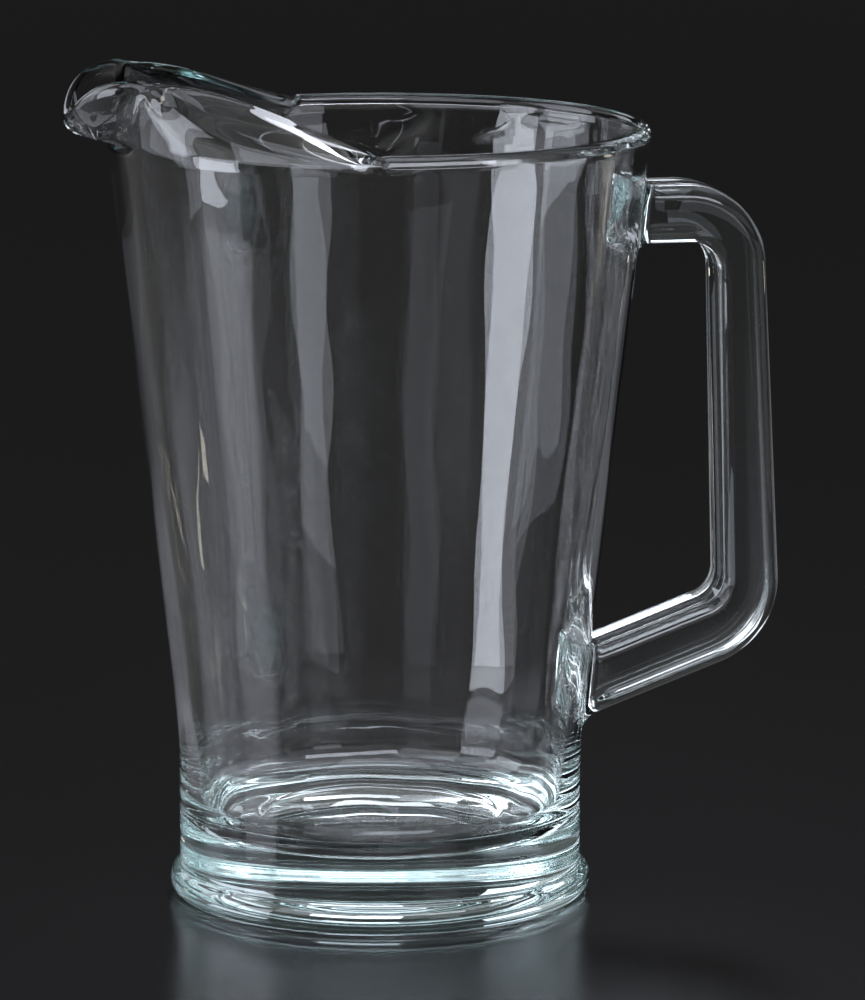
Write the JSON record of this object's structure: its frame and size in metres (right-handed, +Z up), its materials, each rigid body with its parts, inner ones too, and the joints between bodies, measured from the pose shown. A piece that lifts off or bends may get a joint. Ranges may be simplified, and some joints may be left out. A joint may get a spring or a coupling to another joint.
{
  "type": "beer pitcher",
  "caption": "Clear glass beer pitcher with a conical wall, thick beaded foot, pinched pouring lip and a fused D handle.",
  "frame": {"origin": "on the axis of the body, in the plane of the ring that stands on the table", "axes": "+Z up along the axis of the body, +X towards the handle, -X towards the pouring lip"},
  "size_m": [0.1922, 0.145, 0.2238],
  "materials": {
    "clear_glass": "clear pressed soda-lime glass, fire-polished"
  },
  "bodies": {
    "root": {"foot": "clear_glass", "base": "clear_glass", "heel": "clear_glass", "wall": "clear_glass", "rim": "clear_glass", "pouring_lip": "clear_glass", "handle": "clear_glass", "upper_handle_pad": "clear_glass", "lower_handle_pad": "clear_glass"}
  },
  "joints": []
}
